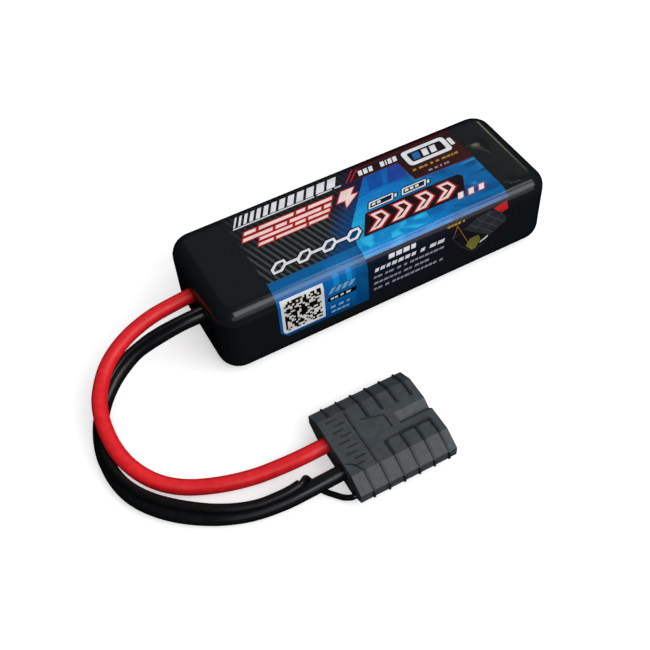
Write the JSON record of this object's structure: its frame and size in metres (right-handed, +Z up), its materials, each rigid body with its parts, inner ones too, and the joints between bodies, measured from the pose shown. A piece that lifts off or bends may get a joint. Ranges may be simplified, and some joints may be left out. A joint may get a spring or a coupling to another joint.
{
  "type": "rechargeable battery pack",
  "caption": "Soft-cornered lithium polymer battery pack in shrink film, with thick silicone power leads, a thin balance lead and a flat ribbed plug.",
  "frame": {"origin": "middle of the underside of the pack", "axes": "+X along the pack away from its leads, +Z up; the plug lies on the -Y side"},
  "size_m": [0.139, 0.0853, 0.0233],
  "materials": {
    "film": "gloss",
    "shell": "matte",
    "foam": "matte",
    "pale_foam": "matte",
    "cell": "satin",
    "tab": "satin",
    "nickel": "satin",
    "tape": "gloss",
    "board": "gloss",
    "insulator": "matte",
    "solder": "gloss",
    "copper": "satin",
    "contact": "satin",
    "red_silicone": "satin",
    "black_silicone": "satin",
    "sleeve": "satin",
    "grommet": "matte",
    "plug": "matte"
  },
  "bodies": {
    "root": {"shrink_sleeve": "film", "lower_shell": "shell", "upper_shell": "shell", "lead_grommet": "grommet", "bottom_pad": "foam", "top_pad": "foam", "end_pad": "foam", "separator_pad": "pale_foam", "cell_tape": "tape", "cell_1": "cell", "cell_1_positive_tab": "tab", "cell_1_negative_tab": "nickel", "cell_2": "cell", "cell_2_positive_tab": "tab", "cell_2_negative_tab": "nickel", "tab_board": "board", "series_link": "copper", "tab_insulator": "insulator", "positive_solder": "solder", "negative_solder": "solder", "balance_solder": "solder", "red_lead": "red_silicone", "red_lead_core": "copper", "black_lead": "black_silicone", "black_lead_core": "copper", "balance_lead": "black_silicone", "balance_lead_core": "copper", "balance_sleeve": "sleeve", "plug_body": "plug", "plug_end_cap": "plug", "positive_contact": "contact", "negative_contact": "contact", "balance_contact": "contact"}
  },
  "joints": []
}
